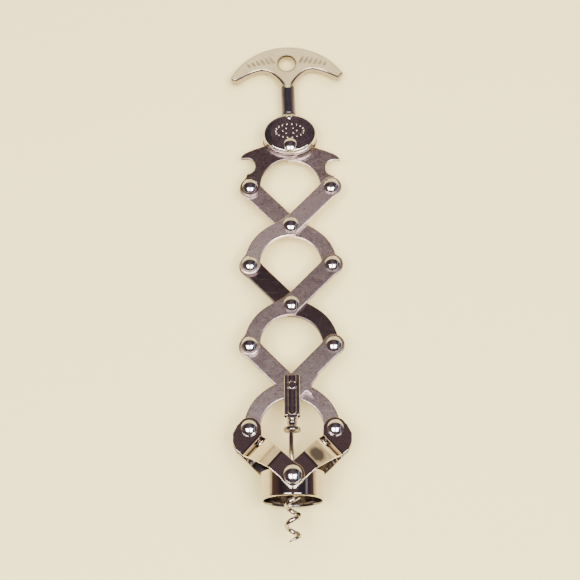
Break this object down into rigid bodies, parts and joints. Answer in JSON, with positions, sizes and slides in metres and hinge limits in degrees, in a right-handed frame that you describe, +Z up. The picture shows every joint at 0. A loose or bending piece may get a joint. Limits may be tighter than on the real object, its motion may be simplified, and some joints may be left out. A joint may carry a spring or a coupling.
{
  "type": "lazy-tongs corkscrew",
  "caption": "Lazy-tongs corkscrew: a folding concertina of crossed steel links joins a T handle with a hanging hole and cap hooks to a bottle-neck collar, with a wire worm inside.",
  "frame": {"origin": "on the surface the tool lies on, under the middle of its bounding box", "axes": "+Y from the collar towards the handle, +X to the right seen from the front, +Z up from the surface; the links lean by the lie of the tool"},
  "size_m": [0.0612, 0.2698, 0.0428],
  "materials": {
    "link_steel": "worn nickel plate over stamped steel, fine mottled grain",
    "strap_nickel": "worn bright nickel",
    "bright_nickel": "bright nickel plate",
    "handle_nickel": "satin nickel plate with rubbed edges",
    "worm_steel": "nickel-plated steel, slightly dulled"
  },
  "bodies": {
    "collar": {"collar": "bright_nickel"},
    "collar_rivets": {"collar_rivet_front": "bright_nickel", "collar_rivet_back": "bright_nickel"},
    "left_straps": {"front_strap_left": "strap_nickel", "back_strap_left": "strap_nickel", "strap_rivet_left": "bright_nickel"},
    "right_straps": {"front_strap_right": "strap_nickel", "back_strap_right": "strap_nickel"},
    "lower_front": {"lower_link_front": "link_steel", "lower_rivet_right": "bright_nickel"},
    "lower_back": {"lower_link_back": "link_steel", "lower_rivet_left": "bright_nickel", "strap_rivet_right": "bright_nickel"},
    "middle_front": {"middle_link_front": "link_steel", "middle_crossing_rivet": "bright_nickel", "middle_rivet_right": "bright_nickel"},
    "middle_back": {"middle_link_back": "link_steel", "middle_rivet_left": "bright_nickel"},
    "upper_front": {"upper_link_front": "link_steel", "upper_crossing_rivet": "bright_nickel", "upper_rivet_right": "bright_nickel"},
    "upper_back": {"upper_link_back": "link_steel", "upper_rivet_left": "bright_nickel"},
    "top_left": {"top_link_left": "link_steel"},
    "top_right": {"top_link_right": "link_steel"},
    "top_pivot": {"top_rivet": "bright_nickel"},
    "handle": {"handle": "handle_nickel", "button_front_shell": "bright_nickel", "button_back_shell": "bright_nickel", "tang_rivet": "bright_nickel"},
    "worm_pin": {"worm_pin": "worm_steel"},
    "worm": {"worm_holder": "worm_steel", "worm_ferrule": "worm_steel", "worm": "worm_steel"}
  },
  "joints": [
    {"name": "collar_swing", "type": "hinge", "parent": "collar", "child": "collar_rivets", "pos_m": [0.00135, -0.10482, 0.0214], "axis": [0, 0.0672, 0.9977], "range_deg": [-8, 8]},
    {"name": "left_strap_turn", "type": "hinge", "parent": "collar_rivets", "child": "left_straps", "pos_m": [0.00135, -0.10482, 0.0214], "axis": [0, 0.0672, 0.9977], "range_deg": [-8.77, 24.83]},
    {"name": "left_ear_turn", "type": "hinge", "parent": "left_straps", "child": "lower_front", "pos_m": [-0.01988, -0.07832, 0.01962], "axis": [0, 0.0672, 0.9977], "range_deg": [-58.83, 20.77]},
    {"name": "fold", "type": "hinge", "parent": "lower_front", "child": "lower_back", "pos_m": [0.00135, -0.05661, 0.01815], "axis": [0, 0.0672, 0.9977], "range_deg": [-24, 68]},
    {"name": "right_ear_turn", "type": "hinge", "parent": "lower_back", "child": "right_straps", "pos_m": [0.02259, -0.07832, 0.01962], "axis": [0, 0.0672, 0.9977], "range_deg": [-58.83, 20.77]},
    {"name": "lower_right_turn", "type": "hinge", "parent": "lower_front", "child": "middle_back", "pos_m": [0.02259, -0.03491, 0.01669], "axis": [0, 0.0672, 0.9977], "range_deg": [-24.01, 68.01]},
    {"name": "lower_left_turn", "type": "hinge", "parent": "lower_back", "child": "middle_front", "pos_m": [-0.01988, -0.03491, 0.01669], "axis": [0, 0.0672, 0.9977], "range_deg": [-68.01, 24.01]},
    {"name": "middle_left_turn", "type": "hinge", "parent": "middle_back", "child": "upper_front", "pos_m": [-0.01988, 0.00851, 0.01377], "axis": [0, 0.0672, 0.9977], "range_deg": [-68.01, 24.01]},
    {"name": "middle_right_turn", "type": "hinge", "parent": "middle_front", "child": "upper_back", "pos_m": [0.02259, 0.00851, 0.01377], "axis": [0, 0.0672, 0.9977], "range_deg": [-24.01, 68.01]},
    {"name": "upper_right_turn", "type": "hinge", "parent": "upper_front", "child": "top_right", "pos_m": [0.02259, 0.05193, 0.01084], "axis": [0, 0.0672, 0.9977], "range_deg": [-24.01, 68.01]},
    {"name": "upper_left_turn", "type": "hinge", "parent": "upper_back", "child": "top_left", "pos_m": [-0.01988, 0.05193, 0.01084], "axis": [0, 0.0672, 0.9977], "range_deg": [-68.01, 24.01]},
    {"name": "top_turn", "type": "hinge", "parent": "top_right", "child": "top_pivot", "pos_m": [0.00135, 0.07363, 0.00938], "axis": [0, 0.0672, 0.9977], "range_deg": [-34.01, 12.01]},
    {"name": "handle_swing", "type": "hinge", "parent": "top_pivot", "child": "handle", "pos_m": [0.00135, 0.07363, 0.00938], "axis": [0, 0.0672, 0.9977], "range_deg": [-20, 20]},
    {"name": "worm_pin_turn", "type": "hinge", "parent": "lower_front", "child": "worm_pin", "pos_m": [0.00135, -0.05661, 0.01815], "axis": [0, 0.0672, 0.9977], "range_deg": [-12.01, 34.01]},
    {"name": "worm_swing", "type": "hinge", "parent": "worm_pin", "child": "worm", "pos_m": [0.00135, -0.05661, 0.01815], "axis": [0, 0.0672, 0.9977], "range_deg": [-6, 6]}
  ],
  "couplings": [
    {"joint": "left_strap_turn", "follows": "fold", "ratio": 0.365},
    {"joint": "left_ear_turn", "follows": "fold", "ratio": -0.865},
    {"joint": "right_ear_turn", "follows": "fold", "ratio": -0.865},
    {"joint": "lower_right_turn", "follows": "fold", "ratio": 1},
    {"joint": "lower_left_turn", "follows": "fold", "ratio": -1},
    {"joint": "middle_left_turn", "follows": "fold", "ratio": -1},
    {"joint": "middle_right_turn", "follows": "fold", "ratio": 1},
    {"joint": "upper_right_turn", "follows": "fold", "ratio": 1},
    {"joint": "upper_left_turn", "follows": "fold", "ratio": -1},
    {"joint": "top_turn", "follows": "fold", "ratio": -0.5},
    {"joint": "worm_pin_turn", "follows": "fold", "ratio": 0.5}
  ]
}
